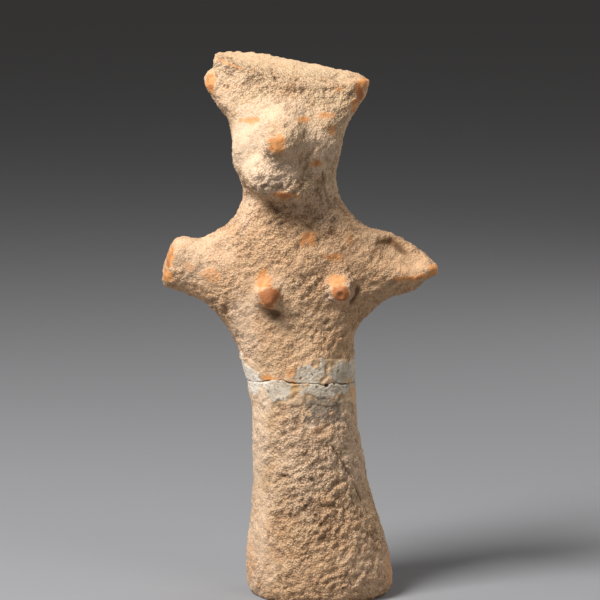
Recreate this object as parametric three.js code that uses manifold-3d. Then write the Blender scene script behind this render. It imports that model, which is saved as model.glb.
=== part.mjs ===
// A hand-modelled terracotta female figurine, 125 mm tall: a flaring headdress broken at its
// top, a face pinched out of the clay, two button breasts, stub arms and a round splayed stem.
// It broke through at the waist and was mended, so it is three pieces: the upper fragment, the
// lower fragment, and the collar of plaster that fills the worn edges of the break.
// Millimetres, +Z up, the face towards -Y, the origin under the middle of the figure.

import * as THREE from "three";
import { mergeVertices } from "three/addons/utils/BufferGeometryUtils.js";
import Module from "manifold-3d";

const wasm = await Module();
wasm.setup();

// The clay column from the foot to the headdress, as the edges of its section at each height.
// shape is the section's superellipse power: 2 is an ellipse, more is squarer.
const COLUMN = [
  { z: -2, left: -8.6, right: 17.2, front: -11.6, back: 11.2, shape: 2 },
  { z: 0, left: -11.0, right: 20.0, front: -14.0, back: 13.6, shape: 2 },
  { z: 1.5, left: -11.9, right: 21.1, front: -14.9, back: 14.5, shape: 2 },
  { z: 5, left: -12.3, right: 21.5, front: -15.4, back: 15.0, shape: 2 },
  { z: 12, left: -12.1, right: 20.0, front: -14.8, back: 14.4, shape: 2.05 },
  { z: 21.5, left: -11.1, right: 16.8, front: -13.2, back: 12.6, shape: 2.1 },
  { z: 35, left: -10.9, right: 14.1, front: -11.8, back: 11.2, shape: 2.2 },
  { z: 49, left: -11.7, right: 12.7, front: -11.2, back: 10.6, shape: 2.2 },
  { z: 56, left: -13.8, right: 12.5, front: -10.6, back: 10.0, shape: 2.2 },
  { z: 64, left: -15.4, right: 12.4, front: -9.8, back: 9.4, shape: 2.2 },
  { z: 76, left: -13.6, right: 11.4, front: -9.0, back: 8.6, shape: 2.2 },
  { z: 86, left: -14.0, right: 11.2, front: -8.2, back: 8.2, shape: 2.1 },
  { z: 93, left: -12.8, right: 8.4, front: -8.2, back: 8.2, shape: 2.1 },
  { z: 99, left: -14.2, right: 8.2, front: -8.8, back: 8.4, shape: 2.8 },
  { z: 106, left: -15.3, right: 9.8, front: -9.3, back: 8.0, shape: 3.2 },
  { z: 110.8, left: -16.7, right: 11.8, front: -9.2, back: 7.4, shape: 3.1 },
  { z: 114, left: -19.1, right: 14.0, front: -7.7, back: 6.8, shape: 2.9 },
  { z: 119, left: -21.6, right: 15.6, front: -5.2, back: 6.2, shape: 2.7 },
  { z: 128, left: -23.0, right: 17.4, front: -4.2, back: 6.2, shape: 2.7 },
];

// The bar of clay that makes both stub arms, as its edges at each distance along X.
const ARMS = [
  { x: -34, top: 80.4, bottom: 71.4, front: -4.6, back: 4.6 },
  { x: -28.7, top: 83.0, bottom: 71.0, front: -5.4, back: 5.2 },
  { x: -23, top: 82.4, bottom: 68.5, front: -5.8, back: 5.6 },
  { x: -17, top: 84.2, bottom: 64.9, front: -6.6, back: 6.4 },
  { x: -8, top: 87.0, bottom: 64.0, front: -7.4, back: 7.0 },
  { x: 8, top: 87.0, bottom: 64.0, front: -7.6, back: 7.0 },
  { x: 14, top: 85.0, bottom: 65.0, front: -7.2, back: 6.6 },
  { x: 20, top: 84.0, bottom: 68.6, front: -6.6, back: 6.0 },
  { x: 26, top: 80.8, bottom: 70.8, front: -5.8, back: 4.8 },
  { x: 30.4, top: 77.4, bottom: 74.0, front: -4.0, back: 3.0 },
  { x: 33, top: 75.8, bottom: 74.8, front: -2.4, back: 1.4 },
];

// The broken top of the headdress: its height along the back edge and along the front edge.
const CROWN = [
  { x: -22, back: 124.7, front: 124.4 },
  { x: -18.5, back: 125.0, front: 123.3 },
  { x: -13, back: 125.1, front: 121.2 },
  { x: -8, back: 124.4, front: 119.0 },
  { x: -3, back: 123.2, front: 118.0 },
  { x: 6, back: 121.5, front: 117.6 },
  { x: 12, back: 120.3, front: 118.1 },
  { x: 14, back: 119.5, front: 119.0 },
  { x: 17, back: 118.4, front: 118.5 },
];
const CROWN_FRONT_Y = -5.4;
const CROWN_BACK_Y = 5.8;
const CROWN_DISH = 0.3;
const NOTCH = { x: -19.5, z: 120.6, round: 1.2 };

const ARM_BLEND = 7.5;
const LEFT_STUB_END = { point: [-30.9, 0, 76.3], normal: [-0.965, -0.1, 0.24], round: 2.8 };
const RIGHT_STUB_TIP = { point: [31.4, 0, 75.6], normal: [0.86, 0.1, 0.50], round: 1.6 };
const RIGHT_STUB_SCOOP = { centre: [26.6, -9.8, 83.4], radii: [11.0, 8.8, 9.0], round: 0.7 };

// The lumps of the face, blend being how softly each joins: the face itself, the cheeks
// pushed forwards with the nose, the mouth and the chin.
const FACE_LUMPS = [
  { centre: [-3.6, -4.4, 101.8], radii: [11.6, 6.6, 10.4], blend: 2.2 },
  { centre: [-3.4, -6.0, 104.4], radii: [10.8, 5.8, 7.2], blend: 3.0 },
  { centre: [-6.0, -9.8, 97.8], radii: [6.4, 5.3, 4.9], blend: 2.2 },
  { centre: [-3.0, -10.2, 94.6], radii: [4.9, 4.0, 2.7], blend: 1.8 },
];
const JAW = { from: [-0.8, -10.4, 94.8], to: [5.2, -6.6, 101.2], radius: 1.6, blend: 2.2 };
const NOSE = {
  bridge: [-3.5, -7.6, 110.2],
  tip: [-4.8, -14.8, 105.4],
  bridgeRadius: 3.5,
  tipRadius: 3.6,
  blend: 4.4,
};
const RIM_ROLLS = [
  { from: [13.7, -1.0, 118.0], to: [10.0, -1.6, 111.0], radius: 2.0, blend: 1.6 },
  { from: [-19.3, -0.8, 118.0], to: [-17.2, -0.8, 114.4], radius: 2.1, blend: 1.8 },
];
const BREASTS = [
  { root: [-6.9, -8.0, 70.8], tip: [-7.3, -10.3, 70.5], rootRadius: 4.0, tipRadius: 3.0 },
  { root: [8.9, -7.4, 72.1], tip: [9.2, -9.8, 71.8], rootRadius: 3.9, tipRadius: 2.8 },
];
const BREAST_BLEND = 1.3;

// The break at the waist, the gap that parts the pieces, and the plaster let into its edges.
const BREAK_Z = 50.2;
const BREAK_TILT = -0.05;
const BREAK_WAVE = 0.7;
const JOINT_GAP = 0.3;
const FILL_DEPTH = 1.8;
const FILL_INNER_SHARE = 0.8;
const FILL_OUTSIDE = 4;
const FILL_BELOW = 4.4;
const FILL_PADS = [
  { angle: 36, width: 40, height: 4.0 },
  { angle: -76, width: 26, height: 3.2 },
  { angle: 165, width: 46, height: 2.8 },
];
const FILL_ABOVE_LEAST = 0.4;
const FILL_SIDES = 48;

// The lines of the grid that each piece's surface is drawn on: from one place to the next
// with the given step. The carved head is finer than the arms and the plain stem.
const UPPER_GRID = {
  x: [[-36, 2.7], [-18, 1.7], [14, 2.7], [36]],
  y: [[-22, 1.6], [-6, 2.2], [16]],
  z: [[40, 2.7], [66, 1.5], [76.5, 2.7], [90, 1.7], [132]],
};
const LOWER_GRID = {
  x: [[-20, 3.1], [30]],
  y: [[-22, 3.1], [22]],
  z: [[-8, 2.8], [62]],
};
const FILL_GRID = {
  x: [[-20, 2.6], [22]],
  y: [[-20, 2.6], [20]],
  z: [[34, 2.6], [64]],
};

// Points this near a mesh's flat ends stay on the ends, which are cut away later.
const END_MARGIN = 0.8;

// A smooth curve through the rows' values of key, read at position t along the rows' axis.
function readRows(rows, axis, key, t) {
  const last = rows.length - 1;
  if (t <= rows[0][axis]) return rows[0][key];
  if (t >= rows[last][axis]) return rows[last][key];
  let i = 0;
  while (rows[i + 1][axis] < t) i++;
  const slopeBetween = (j) =>
    (rows[j + 1][key] - rows[j][key]) / (rows[j + 1][axis] - rows[j][axis]);
  const slopeAt = (j) => {
    if (j === 0) return slopeBetween(0);
    if (j === last) return slopeBetween(last - 1);
    return (slopeBetween(j - 1) + slopeBetween(j)) / 2;
  };
  const span = rows[i + 1][axis] - rows[i][axis];
  const u = (t - rows[i][axis]) / span;
  const [u2, u3] = [u * u, u * u * u];
  return (
    (2 * u3 - 3 * u2 + 1) * rows[i][key] +
    (u3 - 2 * u2 + u) * span * slopeAt(i) +
    (3 * u2 - 2 * u3) * rows[i + 1][key] +
    (u3 - u2) * span * slopeAt(i + 1)
  );
}

// Every shape below is a function of a point that is negative inside the clay, zero on its
// surface and positive outside, roughly in millimetres.
function join(a, b, blend) {
  const h = Math.max(blend - Math.abs(a - b), 0) / blend;
  return Math.min(a, b) - (h * h * blend) / 4;
}

const cut = (a, b, blend) => -join(-a, b, blend);

// The distance from a section with half sizes a and b, measured along the line to its centre.
function section(u, v, a, b, power) {
  const away = Math.hypot(u, v);
  if (away < 1e-6) return -Math.min(a, b);
  const share = (Math.abs(u / a) ** power + Math.abs(v / b) ** power) ** (1 / power);
  return away - away / share;
}

function lump([x, y, z], { centre, radii }) {
  const q = [x - centre[0], y - centre[1], z - centre[2]];
  const near = Math.hypot(q[0] / radii[0], q[1] / radii[1], q[2] / radii[2]);
  const slope = Math.hypot(q[0] / radii[0] ** 2, q[1] / radii[1] ** 2, q[2] / radii[2] ** 2);
  return slope < 1e-9 ? -Math.min(...radii) : (near * (near - 1)) / slope;
}

// A rod with round ends whose radius changes from one end to the other.
function rod(p, from, to, fromRadius, toRadius) {
  const along = to.map((value, i) => value - from[i]);
  const out = p.map((value, i) => value - from[i]);
  const dot = (a, b) => a[0] * b[0] + a[1] * b[1] + a[2] * b[2];
  const t = THREE.MathUtils.clamp(dot(out, along) / dot(along, along), 0, 1);
  const rest = out.map((value, i) => value - along[i] * t);
  return Math.hypot(...rest) - THREE.MathUtils.lerp(fromRadius, toRadius, t);
}

const beyond = (p, { point, normal }) =>
  normal.reduce((sum, n, i) => sum + n * (p[i] - point[i]), 0);

function column([x, y, z]) {
  const read = (key) => readRows(COLUMN, "z", key, z);
  const [left, right, front, back] = ["left", "right", "front", "back"].map(read);
  const [a, b] = [(right - left) / 2, (back - front) / 2];
  return section(x - (left + right) / 2, y - (front + back) / 2, a, b, read("shape"));
}

function arms(p) {
  const [x, y, z] = p;
  const read = (key) => readRows(ARMS, "x", key, x);
  const [top, bottom, front, back] = ["top", "bottom", "front", "back"].map(read);
  const [a, b] = [(back - front) / 2, (top - bottom) / 2];
  let d = section(y - (front + back) / 2, z - (top + bottom) / 2, a, b, 2.3);
  d = cut(d, -beyond(p, LEFT_STUB_END), LEFT_STUB_END.round);
  d = cut(d, -beyond(p, RIGHT_STUB_TIP), RIGHT_STUB_TIP.round);
  return d;
}

// The unevenness that thumbs and fingers leave on wet clay.
function fingered([x, y, z]) {
  const broad = Math.sin(0.31 * x + 0.9) * Math.sin(0.27 * z + 0.4 * y + 0.3);
  const small = Math.sin(0.62 * x - 0.35 * z) * Math.sin(0.55 * y + 0.48 * z + 1.2);
  return 0.22 * broad + 0.14 * small;
}

function clay(p) {
  let d = join(column(p), arms(p), ARM_BLEND);
  for (const part of FACE_LUMPS) d = join(d, lump(p, part), part.blend);
  d = join(d, rod(p, NOSE.bridge, NOSE.tip, NOSE.bridgeRadius, NOSE.tipRadius), NOSE.blend);
  d = join(d, rod(p, JAW.from, JAW.to, JAW.radius, JAW.radius), JAW.blend);
  for (const roll of RIM_ROLLS)
    d = join(d, rod(p, roll.from, roll.to, roll.radius, roll.radius), roll.blend);
  for (const { root, tip, rootRadius, tipRadius } of BREASTS)
    d = join(d, rod(p, root, tip, rootRadius, tipRadius), BREAST_BLEND);
  d += fingered(p);
  d = cut(d, lump(p, RIGHT_STUB_SCOOP), RIGHT_STUB_SCOOP.round);
  const [x, , z] = p;
  return cut(d, Math.max(x - NOTCH.x, NOTCH.z - z), NOTCH.round);
}

// Moves a point onto the surface of the clay, a few steps along the steepest way.
function settle(start) {
  const h = 0.02;
  let p = start;
  for (let step = 0; step < 4; step++) {
    const slope = [0, 1, 2].map((axis) => {
      const [ahead, behind] = [[...p], [...p]];
      ahead[axis] += h;
      behind[axis] -= h;
      return (clay(ahead) - clay(behind)) / (2 * h);
    });
    const steep = slope.reduce((sum, s) => sum + s * s, 0);
    const move = clay(p) / Math.max(steep, 0.2);
    p = p.map((value, axis) => value - move * slope[axis]);
  }
  return p;
}

// The places of the grid lines along one axis, from its list of [start, step] stretches.
function gridLines(stretches) {
  const lines = [];
  for (let n = 0; n + 1 < stretches.length; n++) {
    const [from, step] = stretches[n];
    const length = stretches[n + 1][0] - from;
    const count = Math.round(length / step);
    for (let i = 0; i < count; i++) lines.push(from + (i * length) / count);
  }
  return [...lines, stretches.at(-1)[0]];
}

// The clay inside a grid as a closed mesh. Each small box that the surface passes through
// gets one point, and each grid line that it crosses gets one four-sided face.
function meshClay(grid) {
  const axes = [gridLines(grid.x), gridLines(grid.y), gridLines(grid.z)];
  const [nx, ny, nz] = axes.map((list) => list.length);
  const index = (i, j, k) => (k * ny + j) * nx + i;
  const halfway = (a, b) => (axes[2][a] + axes[2][b]) / 2;
  const [lowEnd, highEnd] = [halfway(1, 2), halfway(nz - 3, nz - 2)];
  const end = (z) => Math.max(lowEnd - z, z - highEnd);
  const field = new Float64Array(nx * ny * nz);
  for (let k = 0; k < nz; k++)
    for (let j = 0; j < ny; j++)
      for (let i = 0; i < nx; i++) {
        const p = [axes[0][i], axes[1][j], axes[2][k]];
        field[index(i, j, k)] = Math.max(clay(p), end(p[2]));
      }

  const points = [];
  const pointOf = new Map();
  const corners = Array.from({ length: 8 }, (_, c) => [c & 1, (c >> 1) & 1, (c >> 2) & 1]);
  const edges = [];
  corners.forEach((a, m) =>
    corners.forEach((b, n) => {
      if (n > m && Math.abs(a[0] - b[0]) + Math.abs(a[1] - b[1]) + Math.abs(a[2] - b[2]) === 1)
        edges.push([a, b]);
    }),
  );
  const pointIn = (i, j, k) => {
    const key = index(i, j, k);
    if (pointOf.has(key)) return pointOf.get(key);
    const sum = [0, 0, 0];
    let crossings = 0;
    for (const [a, b] of edges) {
      const fa = field[index(i + a[0], j + a[1], k + a[2])];
      const fb = field[index(i + b[0], j + b[1], k + b[2])];
      if (fa < 0 === fb < 0) continue;
      const t = fa / (fa - fb);
      const at = [i, j, k];
      for (let axis = 0; axis < 3; axis++)
        sum[axis] += THREE.MathUtils.lerp(
          axes[axis][at[axis] + a[axis]],
          axes[axis][at[axis] + b[axis]],
          t,
        );
      crossings++;
    }
    const middle = sum.map((value) => value / crossings);
    const onEnd = Math.abs(end(middle[2])) < END_MARGIN;
    points.push(onEnd ? middle : settle(middle));
    pointOf.set(key, points.length - 1);
    return points.length - 1;
  };

  const triangles = [];
  const far = (a, b) => Math.hypot(...points[a].map((value, i) => value - points[b][i]));
  const addFace = (quad, flip) => {
    const [a, b, c, d] = flip ? [...quad].reverse() : quad;
    if (far(a, c) < far(b, d)) triangles.push([a, b, c], [a, c, d]);
    else triangles.push([a, b, d], [b, c, d]);
  };
  const unit = [
    [1, 0, 0],
    [0, 1, 0],
    [0, 0, 1],
  ];
  for (let k = 1; k < nz - 1; k++)
    for (let j = 1; j < ny - 1; j++)
      for (let i = 1; i < nx - 1; i++)
        for (let axis = 0; axis < 3; axis++) {
          const [u, v, w] = unit[axis];
          const here = field[index(i, j, k)] < 0;
          const next = field[index(i + u, j + v, k + w)] < 0;
          if (here === next) continue;
          const [s, t] = [unit[(axis + 1) % 3], unit[(axis + 2) % 3]];
          const around = [
            pointIn(i - s[0] - t[0], j - s[1] - t[1], k - s[2] - t[2]),
            pointIn(i - t[0], j - t[1], k - t[2]),
            pointIn(i, j, k),
            pointIn(i - s[0], j - s[1], k - s[2]),
          ];
          addFace(around, !here);
        }
  return solid(points.flat(), triangles.flat());
}

function solid(positions, corners) {
  return new wasm.Manifold(
    new wasm.Mesh({
      numProp: 3,
      vertProperties: Float32Array.from(positions),
      triVerts: Uint32Array.from(corners),
    }),
  );
}

// A three.js box as a solid: its faces share their corners once only position is left.
function boxSolid(box) {
  box.deleteAttribute("normal");
  box.deleteAttribute("uv");
  const welded = mergeVertices(box);
  return solid(welded.getAttribute("position").array, welded.index.array);
}

// The height of the break across the stem: nearly level, a little torn.
const breakHeight = (x, y) =>
  BREAK_Z +
  BREAK_TILT * y +
  BREAK_WAVE * (0.6 * Math.sin(0.42 * x + 0.8) + 0.4 * Math.sin(0.55 * y - 0.3 * x + 2.1));

// A box whose upper face, or whose lower one, is drawn at the height that height(x, y) gives.
function wavyBox({ width, depth, steps, flatZ, height }) {
  const box = new THREE.BoxGeometry(width, depth, 1, ...steps, 1);
  const position = box.getAttribute("position");
  const wavyAbove = height(0, 0) > flatZ;
  for (let i = 0; i < position.count; i++) {
    const [x, y] = [position.getX(i), position.getY(i)];
    const isWavy = position.getZ(i) > 0 === wavyAbove;
    position.setZ(i, isWavy ? height(x, y) : flatZ);
  }
  return boxSolid(box);
}

// Everything under the break, moved up or down by shift.
const underBreak = (shift) =>
  wavyBox({
    width: 60,
    depth: 60,
    steps: [24, 24],
    flatZ: -20,
    height: (x, y) => breakHeight(x, y) + shift,
  });

// The height of the headdress's broken top: a dish that slopes down to its front edge.
function crownHeight(x, y) {
  const t = THREE.MathUtils.clamp((CROWN_BACK_Y - y) / (CROWN_BACK_Y - CROWN_FRONT_Y), 0, 1);
  const [back, front] = ["back", "front"].map((key) => readRows(CROWN, "x", key, x));
  return THREE.MathUtils.lerp(back, front, t) - CROWN_DISH * 4 * t * (1 - t);
}

const aboveCrown = () =>
  wavyBox({ width: 56, depth: 40, steps: [28, 20], flatZ: 140, height: crownHeight });

// How far round from the front a direction is, in degrees, and how strong a pad is there.
const padAt = (degrees, { angle, width, height }) => {
  const off = THREE.MathUtils.euclideanModulo(degrees - angle + 180, 360) - 180;
  return height * Math.exp(-((off / width) ** 4));
};

// A ring round the waist with a four-cornered section. corner gives, for a direction in
// degrees and the height of the break there, the section's corners as [outward, height].
function waistRing(corner) {
  const middle = COLUMN.find((row) => row.z === 49);
  const centre = [(middle.left + middle.right) / 2, (middle.front + middle.back) / 2];
  const half = [(middle.right - middle.left) / 2, (middle.back - middle.front) / 2];
  const points = [];
  for (let n = 0; n < FILL_SIDES; n++) {
    const turn = (2 * Math.PI * n) / FILL_SIDES;
    const [u, v] = [Math.sin(turn), -Math.cos(turn)];
    const power = middle.shape;
    const radius = 1 / (Math.abs(u / half[0]) ** power + Math.abs(v / half[1]) ** power) ** (1 / power);
    const height = breakHeight(centre[0] + u * radius, centre[1] + v * radius);
    for (const [outward, z] of corner(THREE.MathUtils.radToDeg(turn), height))
      points.push([centre[0] + u * (radius + outward), centre[1] + v * (radius + outward), z]);
  }
  const triangles = [];
  for (let n = 0; n < FILL_SIDES; n++)
    for (let c = 0; c < 4; c++) {
      const [a, b] = [4 * n + c, 4 * n + ((c + 1) % 4)];
      const next = (4 * (n + 1)) % (4 * FILL_SIDES);
      const [e, f] = [next + c, next + ((c + 1) % 4)];
      triangles.push([a, f, b], [a, e, f]);
    }
  return solid(points.flat(), triangles.flat());
}

// The space the plaster fills, made larger all round by gap for the pieces that it meets.
function fillRing(gap) {
  return waistRing((degrees, height) => {
    const turn = THREE.MathUtils.degToRad(degrees);
    const ragged = 0.5 * Math.sin(5 * turn + 0.7) + 0.35 * Math.sin(9 * turn + 2.4);
    const above = FILL_PADS.reduce((sum, pad) => sum + padAt(degrees, pad), FILL_ABOVE_LEAST);
    const below = FILL_BELOW + ragged;
    const edge = 1.15 * gap;
    return [
      [-FILL_DEPTH - gap, height - below * FILL_INNER_SHARE - edge],
      [FILL_OUTSIDE, height - below - edge],
      [FILL_OUTSIDE, height + above * (1 + 0.12 * ragged) + edge],
      [-FILL_DEPTH - gap, height + above * FILL_INNER_SHARE + edge],
    ];
  });
}

const ground = boxSolid(new THREE.BoxGeometry(120, 120, 60).translate(0, 0, -30));
const groove = fillRing(JOINT_GAP);
const upperFragment = meshClay(UPPER_GRID)
  .subtract(aboveCrown())
  .subtract(underBreak(JOINT_GAP / 2))
  .subtract(groove);
const lowerFragment = meshClay(LOWER_GRID)
  .intersect(underBreak(-JOINT_GAP / 2))
  .subtract(ground)
  .subtract(groove);
const plasterFill = meshClay(FILL_GRID).intersect(fillRing(0));

const terracotta = new THREE.MeshStandardMaterial({ color: 0xc8aa84, roughness: 0.92, metalness: 0 });
const plaster = new THREE.MeshStandardMaterial({ color: 0xbdb5a6, roughness: 0.95, metalness: 0 });

function piece(name, shape, material) {
  const { numProp, vertProperties, triVerts } = shape.getMesh();
  const geometry = new THREE.BufferGeometry();
  const position = new Float32Array((vertProperties.length / numProp) * 3);
  for (let i = 0; i < position.length / 3; i++)
    position.set(vertProperties.subarray(i * numProp, i * numProp + 3), i * 3);
  geometry.setAttribute("position", new THREE.BufferAttribute(position, 3));
  geometry.setIndex(new THREE.BufferAttribute(triVerts, 1));
  const mesh = new THREE.Mesh(geometry.toNonIndexed(), material);
  mesh.geometry.computeVertexNormals();
  mesh.name = name;
  return mesh;
}

const figurine = new THREE.Group();
figurine.name = "terracotta_figurine";
figurine.add(
  piece("upper_fragment", upperFragment, terracotta),
  piece("lower_fragment", lowerFragment, terracotta),
  piece("plaster_fill", plasterFill, plaster),
);

// The origin goes to the middle of the whole figure, at the level that it stands on.
const size = new THREE.Box3().setFromObject(figurine);
const centre = size.getCenter(new THREE.Vector3());
figurine.children.forEach((mesh) => mesh.geometry.translate(-centre.x, -centre.y, -size.min.z));

export default figurine;
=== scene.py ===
import itertools
import math

import bpy
import numpy as np
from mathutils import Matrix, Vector
from mathutils.bvhtree import BVHTree


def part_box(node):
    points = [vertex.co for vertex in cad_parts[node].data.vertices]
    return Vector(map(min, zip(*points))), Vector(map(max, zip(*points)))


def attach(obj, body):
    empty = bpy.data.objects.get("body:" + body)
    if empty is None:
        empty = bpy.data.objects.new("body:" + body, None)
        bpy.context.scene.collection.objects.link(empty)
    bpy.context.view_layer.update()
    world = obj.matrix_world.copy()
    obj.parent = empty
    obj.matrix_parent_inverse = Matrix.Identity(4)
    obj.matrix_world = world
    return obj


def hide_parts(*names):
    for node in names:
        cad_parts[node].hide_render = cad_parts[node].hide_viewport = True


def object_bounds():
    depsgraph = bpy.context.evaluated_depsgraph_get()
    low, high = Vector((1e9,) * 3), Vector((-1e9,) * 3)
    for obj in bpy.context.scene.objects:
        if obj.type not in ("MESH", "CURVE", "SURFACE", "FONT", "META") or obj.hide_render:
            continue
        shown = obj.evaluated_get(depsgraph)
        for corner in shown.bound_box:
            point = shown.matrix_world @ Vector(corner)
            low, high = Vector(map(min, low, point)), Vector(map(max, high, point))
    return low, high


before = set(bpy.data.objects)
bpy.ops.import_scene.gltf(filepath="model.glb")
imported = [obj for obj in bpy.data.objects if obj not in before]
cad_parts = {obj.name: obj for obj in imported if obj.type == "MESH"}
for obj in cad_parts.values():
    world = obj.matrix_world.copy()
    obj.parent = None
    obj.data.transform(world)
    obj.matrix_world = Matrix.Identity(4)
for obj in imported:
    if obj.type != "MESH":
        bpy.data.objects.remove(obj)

cad_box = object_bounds()


# The camera. It stands in front of the figurine and a little above it, as far off as for a
# close-up, and the frame cuts a little of the foot's lower edge away as the photograph does.
MM = 0.001
CAMERA_DISTANCE = 700 * MM
CAMERA_HEIGHT_ANGLE = math.radians(8)
CAMERA_TARGET = Vector((0.1, 1.6, 68.2)) * MM
SENSOR_WIDTH = 36.0
PICTURE_PIXELS = 600
PIXELS_PER_RADIAN = 3054.0

towards_camera = Vector((0, -math.cos(CAMERA_HEIGHT_ANGLE), math.sin(CAMERA_HEIGHT_ANGLE)))
camera_data = bpy.data.cameras.new("camera")
camera_data.sensor_width = SENSOR_WIDTH
camera_data.lens = SENSOR_WIDTH * PIXELS_PER_RADIAN / PICTURE_PIXELS
camera = bpy.data.objects.new("camera", camera_data)
camera.location = CAMERA_TARGET + towards_camera * CAMERA_DISTANCE
camera.rotation_euler = towards_camera.to_track_quat("Z", "Y").to_euler()
bpy.context.collection.objects.link(camera)
bpy.context.scene.camera = camera


# The two clay fragments. They are coarse low-fired clay, pressed to shape with the fingers, so
# the surface is a crust of sandy crumbs. Handling has worn the high places down to smooth
# orange clay, and the top of the headdress is a rough break.

# How wide each fragment's faces are in millimetres, and how its facets are smoothed: the
# passes, and the share of the way to its neighbours' middle that a point eases in, then out.
CLAY_VOXEL = {"upper_fragment": 0.335, "lower_fragment": 0.275}
FACET_SMOOTHING_PASSES = 45
EASE_IN = 0.60
EASE_OUT = -0.61

# The crust's bumps, each layer with its spacing and height in millimetres: the broad swellings
# that the fingers left, the round grains of sand, and the lumps of clay between them. The lumps
# also have a steepness, near 0 for round ones and 3 for flat tops and sharp edges, and run
# aslant as the fingers drew them. Noise shifts both by up to about these parts of a millimetre.
SWELLINGS = [(8.0, 0.26), (3.6, 0.15)]
GRAINS = [(1.0, 0.14), (0.74, 0.20)]
LUMPS = [(2.4, 0.09, 1.4), (1.3, 0.17, 2.4)]
STREAK_ANGLE = math.radians(38)
STREAK_STRETCH = 0.62
WANDER_SPACING = 2.4
LUMP_WANDER = 0.4
GRAIN_WANDER = 0.2

# How much of the crust's height there is: usually, at least and at most, how it varies, as
# spacing and change, and the share of it that's gone where the clay is worn or smeared over.
USUAL_COARSENESS = 0.90
FINEST = 0.15
COARSEST = 1.9
COARSENESS_CLOUDS = [(5.0, 0.35), (2.4, 0.25)]
GONE_WHERE_WORN = 0.85
GONE_WHERE_SMEARED = 0.5

# Pits that lost grains have left: their spacing and depth in millimetres, and the noise at
# which one starts and is full.
PIT_SPACING = 0.9
PIT_DEPTH = 0.22
PIT_START = 0.70
PIT_FULL = 0.90

# How the edges of a place are torn, as spacing in millimetres and a share of its radii, how
# soft they are, and how much more or less torn those of the smeared and pale places are.
TORN_EDGES = [(1.6, 0.40), (0.8, 0.25)]
EDGE_SOFTNESS = 0.35
SMEAR_TEARING = 1.4
PALE_TEARING = 0.4

# Broader clouds, as spacing in millimetres and strength: one moves the edges of the pale
# places, and the other changes how red the clay is.
PALE_CLOUDS = [(4.0, 0.5)]
RED_CLOUDS = [(7.0, 0.35)]

# Places where the pressed clay stands out from the plain solid, or in when less than 0, as
# centre and radii in millimetres and how far.
FULLNESS = [
    ((0.2, -12.0, 103.5), (3.6, 6.0, 5.5), 1.0),
    ((-5.3, -16.5, 105.0), (3.0, 4.0, 4.0), -0.7),
    ((-3.0, -15.0, 102.4), (1.8, 4.0, 1.5), -0.9),
    ((1.5, -12.5, 97.5), (3.0, 5.0, 3.2), 0.7),
    ((0.5, -4.0, 117.8), (8.0, 2.5, 0.7), 0.40),
    ((0.5, -4.6, 116.2), (7.0, 2.5, 0.9), -0.40),
    ((-10.5, -3.2, 119.4), (2.4, 3.0, 1.3), 0.40),
    ((11.3, 3.7, 119.6), (3.2, 3.0, 1.6), 0.70),
    ((21.0, -1.0, 81.0), (3.0, 3.0, 2.0), -0.50),
]

# Places as centre and radii in millimetres, then how much coarser the crust is there, or finer
# when less than 0.
COARSENESS = [
    ((3, -11, 21), (9, 9, 10), 0.85),
    ((3, -9, 37), (8, 8, 7), 0.40),
    ((-2, -9, 80), (12, 8, 9), 0.10),
    ((3, -8.5, 73), (3, 4, 3), 0.55),
    ((1, -8, 89), (9, 8, 6), 0.70),
    ((-6, -14, 97.5), (5, 5, 4), 0.65),
    ((-3, -1, 120), (16, 6, 4), 0.25),
    ((-3, 6, 122.5), (22, 4, 3), -0.80),
    ((24, -3, 78), (7, 6, 5), -0.30),
    ((-12, -7, 105), (5, 7, 7), -0.55),
    ((-4, -9, 111), (10, 5, 3), -0.35),
    ((1, -5, 115), (10, 5, 3), 0.35),
    ((-26, -3, 78), (8, 8, 8), -0.25),
    ((-10, -8, 62), (5, 7, 10), -0.25),
    ((-10, -8, 28), (4, 8, 22), -0.40),
    ((4, -12, 5), (12, 10, 6), 0.15),
]

# Paler places, as centre, radii and strength. Some are fine pale dust lying in the grain. On the
# left, lit side they are partly painted light, and the place on the face right of the nose is
# painted light that brightens its shade.
PALE_DUST_AND_PAINTED_LIGHT = [
    ((-11, -8, 105), (7, 8, 8), 0.8),
    ((-7, -13, 98), (6, 6, 5), 0.9),
    ((-6, -8, 111), (12, 5, 4.5), 0.45),
    ((5, -9, 104), (5, 6, 6), 0.6),
    ((-17, -2, 117), (6, 7, 7), 0.3),
    ((-13, -5, 90), (3, 8, 6), 0.5),
    ((-23, -4, 80), (9, 7, 6), 0.4),
    ((-13, -6, 62), (4, 8, 9), 0.6),
    ((-12, -6, 49), (4, 8, 5), 0.9),
    ((-8.2, -6.6, 45), (1.8, 4, 2.6), 1.0),
    ((2.9, -10.8, 41.4), (2.2, 3, 1.2), 0.9),
    ((-11, -5, 38), (4, 9, 13), 0.8),
    ((-11, -6, 16), (5, 11, 14), 0.6),
    ((1, -10, 34), (9, 8, 12), 0.45),
    ((11, -6, 36), (5, 8, 9), 0.6),
    ((-7, -11, 72), (4.4, 4, 4.4), 0.55),
    ((9, -11, 73), (4.4, 4, 4.2), 0.65),
    ((16, -6, 8), (7, 12, 8), 0.3),
    ((4, -7, 91), (7, 6, 5), 0.5),
    ((0, 12, 100), (10, 7, 9), 0.5),
    ((6, 12, 30), (8, 7, 14), 0.5),
]

# How red the clay is at each height in millimetres: it fired paler in the headdress.
REDNESS = [(0, 1.0), (12, 0.9), (24, 0.6), (46, 0.6), (60, 0.85), (88, 1.0), (97, 0.35),
           (112, 0.42), (126, 0.42)]

# How the worn places fade: the clouds as spacing in millimetres and strength, their weight
# where there's no wear, which is 1 less where it's full, how much sooner the crust's high
# points wear, and the wear at which the orange clay starts to show and is bare.
WEAR_CLOUDS = [(1.1, 0.22), (0.75, 0.15)]
WEAR_CLOUD_REACH = 1.3
HIGH_POINT_WEAR = 0.6
BARE_START = 0.05
BARE_FULL = 0.85

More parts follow.
